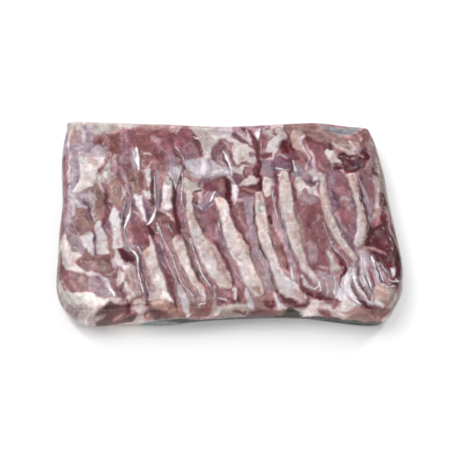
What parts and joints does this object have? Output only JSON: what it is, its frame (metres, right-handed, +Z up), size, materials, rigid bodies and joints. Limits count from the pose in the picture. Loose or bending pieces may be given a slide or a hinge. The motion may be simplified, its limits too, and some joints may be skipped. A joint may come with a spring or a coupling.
{
  "type": "vacuum-packed frozen pork belly",
  "caption": "Flat rectangular slab of frozen bone-in pork belly, ribs upward, sealed tight in a clear film bag, with a flat base to rest on.",
  "frame": {"origin": "middle of the footprint, on the flat base the pack rests on", "axes": "+X along the slab's length towards its narrower-ribbed right end, +Y across it from the front cut to the back edge, +Z up from the rind to the ribs"},
  "size_m": [0.4676, 0.31, 0.0493],
  "materials": {
    "sealed_pork": "clear shrunk film over frozen lean, fat and bone"
  },
  "bodies": {
    "root": {"belly_pack": "sealed_pork"}
  },
  "joints": []
}
